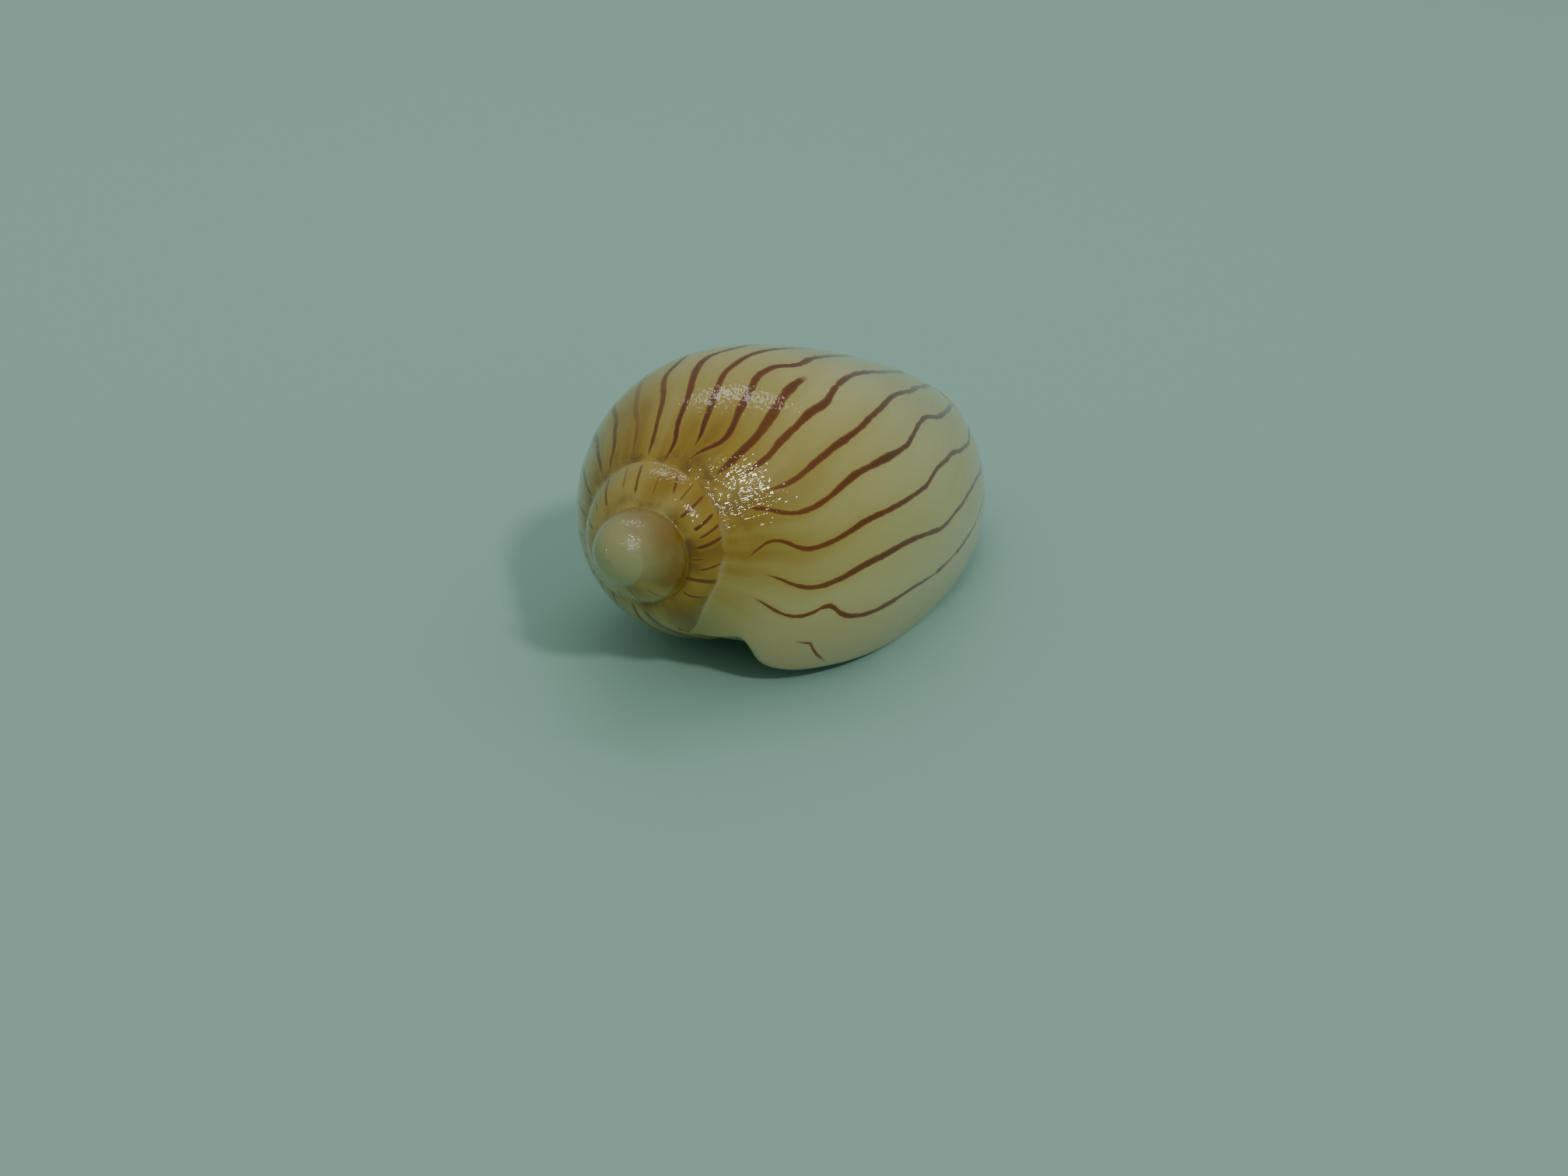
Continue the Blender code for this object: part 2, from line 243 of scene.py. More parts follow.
# Each stripe on the body: strength, width in millimetres, the shares it shows between, and its way down
# as (share, turns back)
bodyStripes = [
    (0.9, 0.38, (0.184, 0.236),
     ((0, 0.034), (0.188, 0.035), (0.202, 0.032), (0.212, 0.022), (0.23, 0.010), (1, 0.006))),
    (1.0, 0.42, (0.080, 0.95),
     ((0, 0.080), (0.088, 0.076), (0.12, 0.071), (0.165, 0.070), (0.198, 0.077), (0.225, 0.060),
      (0.335, 0.058), (0.415, 0.053), (0.615, 0.045), (1, 0.035))),
    (1.0, 0.46, (0.088, 0.95),
     ((0, 0.124), (0.098, 0.114), (0.165, 0.103), (0.255, 0.102), (0.312, 0.103), (0.383, 0.092),
      (0.49, 0.087), (0.618, 0.077), (1, 0.065))),
    (1.0, 0.46, (0.045, 0.95),
     ((0, 0.138), (0.052, 0.144), (0.066, 0.156), (0.15, 0.148), (0.238, 0.140), (0.352, 0.135),
      (0.43, 0.135), (0.573, 0.118), (1, 0.098))),
    (1.0, 0.50, (0.050, 0.95),
     ((0, 0.224), (0.058, 0.217), (0.118, 0.195), (0.173, 0.188), (0.285, 0.178), (0.348, 0.173),
      (0.458, 0.172), (0.615, 0.153), (1, 0.130))),
    (1.0, 0.52, (0.105, 0.95),
     ((0, 0.240), (0.122, 0.228), (0.19, 0.223), (0.242, 0.213), (0.36, 0.210), (0.458, 0.205),
      (0.583, 0.192), (1, 0.160))),
    (1.0, 0.56, (0.080, 0.95),
     ((0, 0.262), (0.107, 0.265), (0.165, 0.268), (0.228, 0.255), (0.278, 0.247), (0.33, 0.250),
      (0.427, 0.243), (0.53, 0.228), (1, 0.190))),
    (1.0, 0.74, (0.040, 0.300),
     ((0, 0.289), (0.052, 0.288), (0.11, 0.292), (0.163, 0.293), (0.235, 0.283), (0.295, 0.277),
      (0.38, 0.263), (0.5, 0.250), (1, 0.210))),
    (1.0, 0.56, (0.030, 0.95),
     ((0, 0.346), (0.04, 0.340), (0.085, 0.322), (0.165, 0.327), (0.223, 0.318), (0.273, 0.310),
      (0.298, 0.303), (0.318, 0.292), (0.375, 0.283), (0.475, 0.270), (1, 0.230))),
    (1.0, 0.52, (0.060, 0.95),
     ((0, 0.352), (0.07, 0.349), (0.125, 0.360), (0.168, 0.362), (0.223, 0.352), (0.26, 0.343),
      (0.3, 0.335), (0.385, 0.312), (1, 0.255))),
    (1.0, 0.52, (0.010, 0.95),
     ((0, 0.384), (0.055, 0.382), (0.085, 0.390), (0.135, 0.395), (0.19, 0.390), (0.242, 0.380),
      (0.292, 0.373), (0.343, 0.352), (0.5, 0.335), (1, 0.285))),
    (0.9, 0.46, (0.020, 0.95),
     ((0, 0.422), (0.055, 0.422), (0.145, 0.428), (0.212, 0.422), (0.278, 0.407), (0.5, 0.385),
      (1, 0.320))),
    (0.5, 0.42, (0.030, 0.95),
     ((0, 0.458), (0.088, 0.457), (0.155, 0.467), (0.233, 0.453), (0.5, 0.425), (1, 0.350))),
    (0.8, 0.42, (0.020, 0.95),
     ((0, 0.513), (0.03, 0.512), (0.065, 0.502), (0.128, 0.502), (0.228, 0.493), (0.5, 0.465),
      (1, 0.380))),
    (0.9, 0.42, (0.030, 0.95),
     ((0, 0.537), (0.06, 0.537), (0.122, 0.542), (0.23, 0.533), (0.5, 0.505), (1, 0.410))),
    (0.9, 0.42, (0.020, 0.95), ((0, 0.583), (0.133, 0.585), (0.3, 0.570), (0.5, 0.545), (1, 0.450))),
    (0.9, 0.44, (0.030, 0.95),
     ((0, 0.630), (0.1, 0.626), (0.22, 0.634), (0.34, 0.616), (0.5, 0.596), (1, 0.490))),
    (0.9, 0.44, (0.050, 0.95),
     ((0, 0.668), (0.12, 0.675), (0.25, 0.668), (0.4, 0.655), (0.55, 0.640), (1, 0.530))),
    (0.8, 0.44, (0.020, 0.95),
     ((0, 0.708), (0.1, 0.712), (0.2, 0.704), (0.36, 0.706), (0.6, 0.690), (1, 0.570))),
    (0.9, 0.42, (0.030, 0.95),
     ((0, 0.742), (0.17, 0.745), (0.27, 0.738), (0.352, 0.757), (0.6, 0.745), (1, 0.610))),
    (0.9, 0.42, (0.030, 0.95),
     ((0, 0.770), (0.06, 0.770), (0.168, 0.784), (0.225, 0.775), (0.275, 0.778), (0.388, 0.793),
      (0.6, 0.785), (1, 0.650))),
    (0.9, 0.42, (0.020, 0.95),
     ((0, 0.795), (0.098, 0.812), (0.182, 0.817), (0.233, 0.813), (0.28, 0.823), (0.383, 0.827),
      (0.6, 0.820), (1, 0.690))),
    (1.0, 0.44, (0.030, 0.95),
     ((0, 0.860), (0.14, 0.868), (0.208, 0.865), (0.255, 0.858), (0.297, 0.867), (0.38, 0.862),
      (0.6, 0.852), (1, 0.730))),
    (1.0, 0.44, (0.060, 0.285),
     ((0, 0.885), (0.068, 0.893), (0.135, 0.905), (0.193, 0.908), (0.238, 0.898), (0.268, 0.890),
      (0.4, 0.874), (0.6, 0.867), (1, 0.752))),
    (1.0, 0.50, (0.010, 0.95),
     ((0, 0.938), (0.13, 0.948), (0.19, 0.947), (0.238, 0.933), (0.27, 0.920), (0.35, 0.898),
      (0.6, 0.885), (1, 0.775))),
]
spireDashes = [  # the same on the spire, with shares from one suture to the next
    (0.8, 0.20, (0.25, 0.95), ((0, 1.030), (0.5, 1.036), (1, 1.050))),
    (0.9, 0.30, (0.10, 1.00), ((0, 1.070), (0.5, 1.082), (1, 1.088))),
    (0.9, 0.20, (0.45, 1.00), ((0, 1.105), (0.5, 1.110), (1, 1.128))),
    (0.7, 0.14, (0.10, 0.50), ((0, 1.128), (0.5, 1.136), (1, 1.150))),
    (1.0, 0.26, (0.30, 0.95), ((0, 1.160), (0.5, 1.167), (1, 1.180))),
    (0.9, 0.20, (0.42, 0.98), ((0, 1.180), (0.5, 1.190), (1, 1.206))),
    (1.0, 0.22, (0.32, 0.90), ((0, 1.202), (0.5, 1.214), (1, 1.232))),
    (0.9, 0.18, (0.20, 0.92), ((0, 1.252), (0.4, 1.259), (1, 1.272))),
    (0.7, 0.13, (0.45, 0.95), ((0, 1.286), (0.4, 1.292), (1, 1.304))),
    (0.9, 0.18, (0.50, 0.88), ((0, 1.300), (0.4, 1.312), (1, 1.348))),
    (0.5, 0.13, (0.30, 0.80), ((0, 1.352), (1, 1.380))),
    (0.8, 0.18, (0.25, 0.90), ((0, 1.408), (0.5, 1.418), (1, 1.429))),
    (0.5, 0.13, (0.40, 0.95), ((0, 1.450), (1, 1.462))),
    (0.8, 0.17, (0.20, 0.85), ((0, 1.516), (0.5, 1.515), (1, 1.508))),
    (0.6, 0.13, (0.35, 1.00), ((0, 1.560), (1, 1.552))),
    (0.8, 0.17, (0.20, 0.90), ((0, 1.612), (0.5, 1.606), (1, 1.598))),
    (0.7, 0.15, (0.30, 0.95), ((0, 1.668), (1, 1.652))),
    (0.7, 0.16, (0.20, 0.80), ((0, 1.742), (0.5, 1.730), (1, 1.722))),
    (0.7, 0.15, (0.30, 0.95), ((0, 1.800), (1, 1.788))),
    (0.6, 0.15, (0.20, 0.90), ((0, 1.868), (0.5, 1.862), (1, 1.852))),
    (0.6, 0.14, (0.10, 0.85), ((0, 1.935), (1, 1.922))),
    (0.5, 0.13, (0.30, 0.90), ((0, 2.000), (1, 1.986))),
    (0.3, 0.12, (0.30, 0.90), ((0, 2.080), (1, 2.066))),
    (0.2, 0.12, (0.30, 0.80), ((0, 2.160), (1, 2.150))),
]
deepTurns = (1.000, 1.048, 1.085, 1.132, 1.180, 1.222, 1.270, 1.316, 1.360, 1.412, 1.455, 1.500)
deepStripes = [  # and inside the mouth, on the whorl one turn back
    (0.55, 0.42, (0.0, 0.93), ((0, turn), (0.3, turn + 0.012), (0.6, turn - 0.03), (1, turn - 0.15)))
    for turn in deepTurns]


# Where a place lies between the stripes on either side: the whole number at a stripe's middle, the share
# of the gap beyond it, the nearest stripe's half width as a share of the gap, and its strength
def stripeField(turn, share, radius, stripes, waver=0.0, least=0.006):
    turn, share, radius = np.broadcast_arrays(turn, share, radius)
    lines = np.stack([through(*zip(*path), share) for _, _, _, path in stripes])
    each = np.arange(len(stripes))[:, None, None]
    waves = (np.sin(21 * share + 1.1 * each) + 0.7 * np.sin(37 * share + 2.3 * each)
             + 0.35 * np.sin(71 * share + 0.8 * each))
    lines += waver * ease((share - 0.40) / 0.14) * waves
    lines = np.maximum.accumulate(lines - least * each, 0) + least * each
    wide = np.array([width for _, width, _, _ in stripes])
    force = np.stack([strength * ease((share - first) / 0.02 + 0.5) * ease((last - share) / 0.02 + 0.5)
                      for strength, _, (first, last), _ in stripes])
    taper = np.stack([0.55 + 0.45 * ease((share - first) / 0.04) * ease((last - share) / 0.05)
                      for _, _, (first, last), _ in stripes])
    after = (lines <= turn).sum(0)  # stripes passed
    low = np.clip(after - 1, 0, len(stripes) - 2)
    before = np.take_along_axis(lines, low[None], 0)[0]
    behind = np.take_along_axis(lines, low[None] + 1, 0)[0]
    gap = np.maximum(behind - before, 0.5 * least)
    beyond = (turn - before) / gap
    nearest = np.clip(low + (beyond > 0.5), 0, len(stripes) - 1)
    gapLength = gap * 2 * math.pi * np.maximum(radius, 0.03) * form["length"] * 1000
    half = wide[nearest] / 2 / gapLength * np.take_along_axis(taper, nearest[None], 0)[0]
    strength = np.take_along_axis(force, nearest[None], 0)[0]
    strength = strength * (beyond > -0.5) * (beyond < 1.5)
    return np.stack([low + beyond, half, strength], -1)


stripeWidth = dict(plain=0.62, shoulder=0.22, older=0.14, nearTip=0.45, nearSeam=0.20, waver=0.0016)


# Stripe width down the profile: thin under the suture, thickest at the shoulder, thin towards the tip
def bodyBand(turn, share, radius, strength=1.0):
    found = stripeField(turn, share, radius, bodyStripes, waver=stripeWidth["waver"])
    shoulder = stripeWidth["shoulder"] * np.exp(-((share - 0.26) / 0.10) ** 2)
    older = stripeWidth["older"] * ease((turn - 0.40) / 0.12)
    nearTip = 1 - stripeWidth["nearTip"] * ease((share - 0.74) / 0.2)
    nearSeam = 1 - stripeWidth["nearSeam"] + stripeWidth["nearSeam"] * ease((share - 0.06) / 0.12)
    found[..., 1] *= stripeWidth["plain"] + shoulder + older
    found[..., 1] *= nearTip * nearSeam
    found[..., 2] *= strength
    return found


amberGround = dict(underSeam=0.80, seamReach=0.16, older=0.80, olderFrom=0.26, olderRun=0.40,
                   shoulder=0.36, flank=0.42, even=0.55, streaked=0.35, streakCount=40)


# How amber the ground is: strong under the suture and on the older half of the whorl, none near the lip
def amberField(turn, share):
    older = amberGround["older"] * ease((turn - amberGround["olderFrom"]) / amberGround["olderRun"])
    older = older * (1 - 0.26 * ease((turn - 0.78) / 0.2))
    below = np.exp(-(share / amberGround["seamReach"]) ** 2) * (0.85 + 0.15 * ease((turn - 0.02) / 0.20))
    between = amberGround["shoulder"] * ease((turn - 0.03) / 0.12) * (1 - ease((share - 0.16) / 0.26))
    between = between + amberGround["flank"] * ease((share - 0.38) / 0.25)
    streaks = 0.5 + 0.5 * np.sin(turn * amberGround["streakCount"] + 6 * share + 1.7 * np.sin(turn * 17))
    whole = older * (amberGround["even"] + amberGround["streaked"] * streaks)
    whole = whole * (1 - 0.40 * ease((share - 0.20) / 0.35))
    whole = whole + between + amberGround["underSeam"] * below
    return np.clip(whole, 0, 1) * (1 - 0.20 * ease((turn - 0.35) / 0.2) * ease((share - 0.04) / 0.08))


# the seam's pale line, and a brown line of painted shade beside it
seamLook = dict(pale=0.6, paleAt=0.003, paleWidth=0.005, shadeAt=0.018, shadeWidth=0.0055, sway=0.004)
paleLip = 0.080  # how far back from its edge the lip is pale, in turns


def seamPale(turn):  # the seam's pale line: whole at first, then coming and going in short stretches
    return 1 - ease((turn - 0.20) / 0.08) * (0.55 + 0.45 * np.sin(61 * turn + 2 * np.sin(23 * turn)))


# The four corners of each square of a grid of vertex numbers
def quads(grid):
    return np.stack([grid[:-1, :-1], grid[1:, :-1], grid[1:, 1:], grid[:-1, 1:]], -1).reshape(-1, 4)


# The whole shell as one closed surface: body, spire, both sides of the hollow, its blind end, the lip
# and the tip, patch by patch on shared edges, with the marking worked out at each patch's own corners
def shellMesh():
    count = form["columns"]
    seat, cornerAt, footAt = form["seatShare"], form["cornerShare"], form["footShare"]
    shares = np.concatenate([
        np.linspace(0, seat, form["sutureRows"] + 1),
        np.linspace(seat, cornerAt, form["rimRows"] + 1)[1:],
        np.linspace(cornerAt, footAt, form["wallRows"] + 1)[1:],
        np.linspace(footAt, 1, form["rimRows"] + 1)[1:]])
    rows = len(shares) - 1
    seatRow = form["sutureRows"]
    cornerRow, footRow = seatRow + form["rimRows"], rows - form["rimRows"]
    points, faces, looks = [], [], {"stripe": [], "tint": [], "growth": [], "zone": []}

    def add(array):  # points in, their numbers out
        first = sum(len(p) for p in points)
        points.append(array.reshape(-1, 3))
        return first + np.arange(array.size // 3).reshape(array.shape[:-1])

    def cover(grid, stripe, tint, growth, zone, turned=False):  # faces over a grid, with their marking
        found = quads(grid)
        faces.append(found[:, ::-1] if turned else found)
        place = quads(np.arange(grid.size).reshape(grid.shape))
        place = place[:, ::-1] if turned else place
        for name, values in (("stripe", stripe), ("tint", tint), ("growth", growth)):
            values = np.broadcast_to(values, grid.shape + (3,)).reshape(-1, 3)
            looks[name].append(values[place])
        looks["zone"].append(np.full(len(place), zone))

    # The body whorl
    turn = np.linspace(-1, 0, count + 1)[:, None]
    own = turn + atLip(shares) * nearLip(turn) + atBack(shares) * nearBack(turn)
    back, share = np.broadcast_arrays(-own, shares[None])
    outside = profile(own, share)
    rise = relief(own, share) * ease((1 + turn) / 0.03) * ease(-turn / 0.02)
    body = add(placed(outside - rise[..., None] * inward(own, share), back + lag(share)))
    body[-1, 0] = body[0, seatRow]
    body[-1, -1] = body[0, -1]
    lipWhite = np.exp(-(np.maximum(back + 0.02, 0) / paleLip) ** 2)
    pale = np.clip(lipWhite + ease((share - 0.90) / 0.06), 0, 1)
    away = (share - seamLook["paleAt"]) / seamLook["paleWidth"]
    sutureLine = seamLook["pale"] * seamPale(back) * np.exp(-away ** 2)
    # painted shade: a brown line beside the seam goes below zero
    shade = ease((back - 0.20) / 0.05) * (1 - 0.55 * ease((back - 0.44) / 0.14))
    away = (share - seamLook["shadeAt"] - seamLook["sway"] * np.sin(70 * back)) / seamLook["shadeWidth"]
    sutureLine -= shade * np.exp(-away ** 2)
    pale = pale * (1 - 0.8 * np.exp(-(share / 0.10) ** 4))
    tint = np.stack([amberField(back, share) * (1 - pale), pale, sutureLine], -1)
    bodyGrowth = np.stack([back, share, 0 * back], -1)
    cover(body, bodyBand(back, share, outside[..., 0]), tint, bodyGrowth, 0)

    # The spire, each whorl from its own suture to the next
    turn = np.linspace(-4, -1, 3 * count + 1)[:, None]
    across = np.linspace(0, 1, seatRow + 1)[None]
    upper, lower = nearBack(turn), nearBack(turn + 1) + nearLip(turn + 1)
    turn = turn + form["ahead"] * ((1 - across) * upper + across * lower)
    start, stop = suture(np.maximum(turn, -3)), suture(turn + 1)
    reach = np.linalg.norm(stop - start, axis=-1, keepdims=True) * form["spireReach"]
    leaving = np.radians(through(form["spireTurn"], form["leavingSlope"], turn))
    meeting = np.radians(through(form["spireTurn"], form["meetingSlope"], turn))
    leaving = start + reach * pair(np.cos(leaving), np.sin(leaving))
    meeting = stop - reach * pair(np.cos(meeting), np.sin(meeting))
    free = bezier(start, leaving, meeting, stop, across + 0 * turn)
    own = np.maximum(turn, -1.0)
    seen = profile(own, across * seat) - suture(own)
    seen = start + seen + (stop - start - seen[:, -1:]) * (across**2)[..., None]
    spirePoint = free + (seen - free) * ease((turn + 1.2) / 0.2)[..., None]
    spire = add(placed(spirePoint, -turn))
    spire[: count + 1, 0] = spire[0, 0]
    spire[0, :] = spire[0, 0]
    spire[-1, :] = body[0, : seatRow + 1]
    spire[: 2 * count, -1] = spire[count : 3 * count, 0]
    spire[2 * count :, -1] = body[:, 0]
    back, share = np.broadcast_arrays(-turn, across)
    dome = ease((back - 2.0) / 0.06)
    sutureLine = seamLook["pale"] * seamPale(back - 1) * np.exp(-((1 - share) / 0.04) ** 2)
    sutureLine = sutureLine * (1 - dome) * (1 - ease((back - 1.85) / 0.1) * (share < 0.5))
    sutureLine -= 0.5 * dome * ease((3.02 - back) / 0.1) * np.exp(-((1 - share) / 0.035) ** 2)
    domeAmber = (1 - ease((back - share - 1.42) / 1.0)) * ease((2.85 - back) / 0.5)
    amber = 0.82 + 0.10 * np.sin(back * 23 + 3 * share) + 0.38 * (1 - ease((back - 1.12) / 0.26))
    amber = amber * (1 - dome) + dome * domeAmber
    tint = np.stack([amber, 0 * back, sutureLine], -1)
    stripe = stripeField(back, share, spirePoint[..., 0], spireDashes)
    stripe[..., 1] *= 0.85
    stripe[..., 2] *= 1 - dome
    cover(spire, stripe, tint, np.stack([1 + 0.4 * (back - 1), share * seat, dome], -1), 0)

    # The hollow: the inside of the outer wall and the wall one turn back
    turn = np.linspace(-form["cavityTurns"], 0, round(form["cavityTurns"] * count) + 1)[:, None]
    point, share = innerSide(turn, shares[None])
    side = add(placed(point, -turn + lag(share) - atLip(share)))
    wallPoint, wallShare = innerWall(turn, np.linspace(0, 1, form["wallRows"] + 1)[None])
    wall = add(placed(wallPoint, -turn + lag(wallShare) - atBack(wallShare)))
    wall[-1] = body[0, cornerRow : footRow + 1]
    side[:, 0] = wall[:, 0]
    side[:, -1] = wall[:, -1]
    back = np.broadcast_to(-turn, share.shape)
    deep = ease((back - 0.015) / 0.16)
    sideTint = np.stack([deep, 1 - deep, 0 * deep], -1)
    sideStripe = bodyBand(back, share, point[..., 0], 0.30)
    cover(side, sideStripe, sideTint, np.stack([back, share, 0 * back], -1), 1, True)
    back = np.broadcast_to(1 - turn, wallShare.shape)
    callus = np.clip(ease((wallShare - 0.40) / 0.22), 0, 1) * (1 - ease((back - 1.12) / 0.25))
    deep = ease((back - 1.02) / 0.22)
    wallTint = np.stack([deep, callus, 0 * deep], -1)
    wallStripe = stripeField(back, wallShare, wallPoint[..., 0], deepStripes)
    wallStripe[..., 2] *= (1 - 0.75 * callus) * (1 - 0.5 * deep)
    cover(wall, wallStripe, wallTint, np.stack([back, wallShare, 0 * back], -1), 1)

    # The blind end of the hollow
    nearest = np.round(np.arange(rows + 1) * form["wallRows"] / rows).astype(int)
    end = np.stack([side[0, :-1], side[0, 1:], wall[0, nearest[1:]], wall[0, nearest[:-1]]], -1)
    faces.append(end[:, ::-1])
    for name, value in (("stripe", (0, 1, 0)), ("tint", (1, 0, 0)), ("growth", (0.75, 0.5, 0))):
        looks[name].append(np.broadcast_to(np.array(value, float), (len(end), 4, 3)))
    looks["zone"].append(np.ones(len(end)))

    # The lip, rounded from the outside to the inside
    every = np.concatenate(points)
    outer, inner = every[body[-1]], every[side[-1]]
    own = atLip(shares) - 0.01
    before = placed(profile(own, shares), lag(shares) - own)
    forward = outer - before
    forward /= np.linalg.norm(forward, axis=1, keepdims=True)
    half = (outer - inner) / 2
    swell = ease(np.minimum(shares / 0.10, (1 - shares) / 0.03))
    swell = swell * form["length"] * form["wallThick"] * form["lipThin"] / 2
    turned = np.linspace(0, math.pi, form["rimRows"] + 1)[:, None, None]
    rim = (outer + inner) / 2 + half * np.cos(turned) + (forward * swell[:, None]) * np.sin(turned)
    lip = add(rim)
    lip[0], lip[-1] = body[-1], side[-1]
    lip[:, 0] = body[0, seatRow : cornerRow + 1]
    lip[:, -1] = body[0, footRow:][::-1]
    lipGrowth = np.broadcast_to(np.stack([0 * shares, shares, 0 * shares], -1), lip.shape + (3,))
    cover(lip, np.array([0, 1, 0.0]), np.array([0, 1, 0.0]), lipGrowth, 0)

    # The anterior tip
    tip = add(placed(pair(0.0, form["tipDrop"] + 0.005)[None], np.zeros(1)))[0]
    ring = body[:-1, -1]
    faces.append(np.stack([ring, np.roll(ring, -1), 0 * ring + tip, 0 * ring + tip], -1))
    for name, value in (("stripe", (0, 1, 0)), ("tint", (0, 1, 0)), ("growth", (0.5, 1, 0))):
        looks[name].append(np.broadcast_to(np.array(value, float), (len(ring), 4, 3)))
    looks["zone"].append(np.zeros(len(ring)))
    looks = {name: np.concatenate(values) for name, values in looks.items()}
    return np.concatenate(points), np.concatenate(faces), looks


# Turned from its own axis to the way it rests on its mouth, centred, the feet trimmed flat
def lying(points):
    spin, dip = math.radians(form["restSpin"]), math.radians(form["restDip"] + 90)
    aboutAxis = np.array([[math.cos(spin), -math.sin(spin), 0],
                          [math.sin(spin), math.cos(spin), 0], [0, 0, 1]])
    tilt = np.array([[math.cos(dip), 0, math.sin(dip)], [0, 1, 0],
                     [-math.sin(dip), 0, math.cos(dip)]])
    points = points @ (tilt @ aboutAxis).T
    low, high = points.min(0), points.max(0)
    middle = (low + high) / 2
    points = points - np.array([middle[0], middle[1], low[2] + form["footTrim"]])
    points[:, 2] = np.maximum(points[:, 2], 0)
    return points


# Mesh from quads: a corner that repeats the one before it goes, and so does a face left with two
def meshOf(name, points, faces, looks):
    keep = faces != np.roll(faces, 1, axis=1)
    keep &= (keep.sum(1) > 2)[:, None]
    sizes = keep.sum(1)
    whole = sizes > 0
    loops = faces[keep]
    used, loops = np.unique(loops, return_inverse=True)
    made = bpy.data.meshes.new(name)
    made.vertices.add(len(used))
    made.vertices.foreach_set("co", points[used].astype(np.float32).ravel())
    made.loops.add(len(loops))
    made.loops.foreach_set("vertex_index", loops.astype(np.int32))
    sizes = sizes[whole]
    made.polygons.add(len(sizes))
    made.polygons.foreach_set("loop_start", (np.cumsum(sizes) - sizes).astype(np.int32))
    made.update(calc_edges=True)
    made.polygons.foreach_set("material_index", looks["zone"][whole].astype(np.int32))
    for key in ("stripe", "tint", "growth"):
        layer = made.attributes.new(key, "FLOAT_VECTOR", "CORNER")
        layer.data.foreach_set("vector", looks[key][keep].astype(np.float32).ravel())
    made.shade_smooth()
    made.validate()
    return made


# Shader helpers: a value that is a socket is linked, any other is set
def addNode(tree, kind, values=None, **settings):
    made = tree.nodes.new(kind)
    for key, value in settings.items():
        setattr(made, key, value)
    for key, value in (values or {}).items():
        if isinstance(value, bpy.types.NodeSocket):
            tree.links.new(value, made.inputs[key])
        else:
            made.inputs[key].default_value = value
    return made


def calc(tree, operation, a, b=0.0, c=0.0):  # one step of arithmetic
    return addNode(tree, "ShaderNodeMath", {0: a, 1: b, 2: c}, operation=operation).outputs[0]


def blendColour(tree, share, first, second):  # the first colour at 0, the second at 1
    return addNode(tree, "ShaderNodeMix", {0: share, 6: first, 7: second}, data_type="RGBA").outputs[2]


def fall(tree, value, near, far):  # 1 up to near, 0 from far
    given = {"Value": value, "From Min": near, "From Max": far, "To Min": 1.0, "To Max": 0.0}
    return addNode(tree, "ShaderNodeMapRange", given, interpolation_type="SMOOTHSTEP").outputs[0]


def noiseAt(tree, vector, scale, detail=2.0, rough=0.5):
    given = {"Vector": vector, "Scale": scale, "Detail": detail, "Roughness": rough}
    return addNode(tree, "ShaderNodeTexNoise", given).outputs[0]


# An empty node group with its sockets: the group, what goes in, what comes out
def newGroup(name, inputs, outputs):
    group = bpy.data.node_groups.new(name, "ShaderNodeTree")
    for label, kind, value in inputs:
        made = group.interface.new_socket(label, in_out="INPUT", socket_type=kind)
        if value is not None:
            made.default_value = value
    for label, kind in outputs:
        group.interface.new_socket(label, in_out="OUTPUT", socket_type=kind)
    return group, group.nodes.new("NodeGroupInput").outputs, group.nodes.new("NodeGroupOutput").inputs


stripeEdge = dict(coarseScale=420, coarse=1.8, fineScale=2100, fine=0.9, wander=1.4, haloReach=4.2)


# Stripe group: distance from the stripe's middle over its half width, its edge made uneven by two noises
def stripeGroup():
    group, given, out = newGroup(
        "stripeBand",
        [("Stripe", "NodeSocketVector", None), ("Unevenness", "NodeSocketFloat", 0.5),
         ("Softness", "NodeSocketFloat", 0.2)],
        [("Mask", "NodeSocketFloat"), ("Halo", "NodeSocketFloat"), ("Core", "NodeSocketFloat")])
    place = addNode(group, "ShaderNodeTexCoord").outputs["Object"]
    parts = addNode(group, "ShaderNodeSeparateXYZ", {0: given["Stripe"]}).outputs
    coarse = calc(group, "SUBTRACT", noiseAt(group, place, stripeEdge["coarseScale"], 2), 0.5)
    coarse = calc(group, "MULTIPLY", coarse, stripeEdge["coarse"])
    fine = calc(group, "SUBTRACT", noiseAt(group, place, stripeEdge["fineScale"], 2), 0.5)
    fine = calc(group, "MULTIPLY", fine, stripeEdge["fine"])
    wander = calc(group, "MULTIPLY", calc(group, "ADD", coarse, fine), given["Unevenness"])
    middle = calc(group, "FRACT", calc(group, "ADD", parts[0], 0.5))
    away = calc(group, "DIVIDE", calc(group, "ABSOLUTE", calc(group, "SUBTRACT", middle, 0.5)), parts[1])
    away = calc(group, "ADD", away, calc(group, "MULTIPLY", wander, stripeEdge["wander"]))
    inner = calc(group, "SUBTRACT", 1.0, given["Softness"])
    outer = calc(group, "ADD", 1.0, given["Softness"])
    halo = fall(group, away, 0.9, stripeEdge["haloReach"])
    group.links.new(calc(group, "MULTIPLY", fall(group, away, inner, outer), parts[2]), out["Mask"])
    group.links.new(calc(group, "MULTIPLY", halo, parts[2]), out["Halo"])
    group.links.new(calc(group, "MULTIPLY", fall(group, away, 0.1, 0.9), parts[2]), out["Core"])
    return group


growthNoise = dict(bendScale=160, bend=0.02, down=4.0, height=3.0, tone=0.35, streak=0.42)
grain = dict(across=5.0, down=11.0, strokes=0.75, dotScale=3500, dots=0.42)


